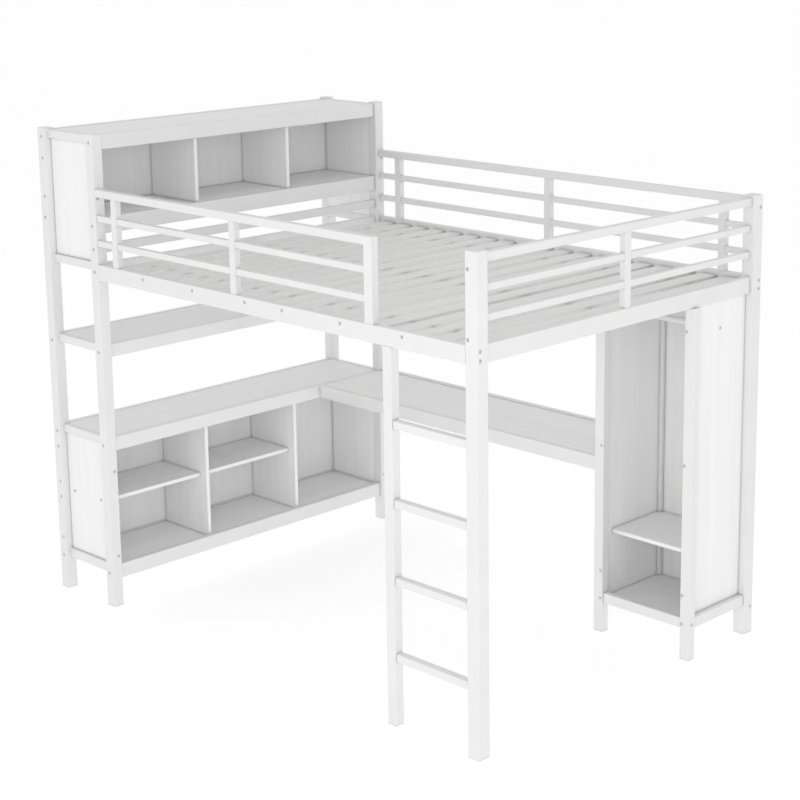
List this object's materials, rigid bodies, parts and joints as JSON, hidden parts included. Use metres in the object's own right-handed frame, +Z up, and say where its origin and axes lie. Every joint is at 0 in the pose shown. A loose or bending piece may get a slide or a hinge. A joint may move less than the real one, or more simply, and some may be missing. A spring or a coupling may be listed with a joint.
{
  "type": "loft bed with desk",
  "caption": "White loft bed with a bookcase at its head, a low cabinet, a desk along the back, an open wardrobe, guard rails and a built-in ladder.",
  "frame": {"origin": "on the floor, at the centre of the object's bounding box in plan", "axes": "+X from the bookcase at the head to the foot of the bed, +Y from the ladder side to the desk side at the back, +Z up"},
  "size_m": [2.315, 1.49, 1.855],
  "materials": {
    "white_paint": "white satin coat on steel tube",
    "white_board": "white melamine-faced board with a fine pressed grain, satin",
    "slat_wood": "white-stained wood slats, matt, with the grain showing faintly"
  },
  "bodies": {
    "root": {"bookcase_end_frame_front": "white_paint", "bookcase_end_frame_back": "white_paint", "upper_front_rail_top": "white_paint", "upper_front_rail_low": "white_paint", "upper_back_rail_top": "white_paint", "upper_back_rail_low": "white_paint", "upper_top_board": "white_board", "upper_bottom_board": "white_board", "upper_back_panel": "white_board", "upper_side_panel_front": "white_board", "upper_side_panel_back": "white_board", "upper_divider_1": "white_board", "upper_divider_2": "white_board", "middle_front_rail": "white_paint", "middle_back_rail": "white_paint", "middle_shelf_board": "white_board", "cabinet_front_rail_top": "white_paint", "cabinet_front_rail_low": "white_paint", "cabinet_back_rail_top": "white_paint", "cabinet_back_rail_low": "white_paint", "cabinet_top_board": "white_board", "cabinet_bottom_board": "white_board", "cabinet_back_panel": "white_board", "cabinet_side_panel_front": "white_board", "cabinet_side_panel_back": "white_board", "cabinet_divider_1": "white_board", "cabinet_divider_2": "white_board", "cabinet_shelf_1": "white_board", "cabinet_shelf_2": "white_board", "bed_post_front": "white_paint", "bed_post_back": "white_paint", "bed_rail_front": "white_paint", "bed_rail_back": "white_paint", "bed_rail_head": "white_paint", "bed_rail_foot": "white_paint", "headboard_rail": "white_paint", "slat_support_frame": "white_paint", "slat_roll_head": "slat_wood", "slat_roll_foot": "slat_wood", "guard_front": "white_paint", "guard_back": "white_paint", "guard_foot": "white_paint", "ladder_stile": "white_paint", "ladder_rung_1": "white_paint", "ladder_rung_2": "white_paint", "ladder_rung_3": "white_paint", "ladder_rung_4": "white_paint", "desk_front_rail": "white_paint", "desk_back_rail": "white_paint", "desk_top": "white_board", "wardrobe_left_frame": "white_paint", "wardrobe_leg_right": "white_paint", "wardrobe_front_rail": "white_paint", "wardrobe_side_rail": "white_paint", "wardrobe_left_panel": "white_board", "wardrobe_right_panel": "white_board", "wardrobe_back_panel": "white_board", "wardrobe_bottom_board": "white_board", "wardrobe_shelf": "white_board", "clothes_rail": "white_paint"}
  },
  "joints": []
}
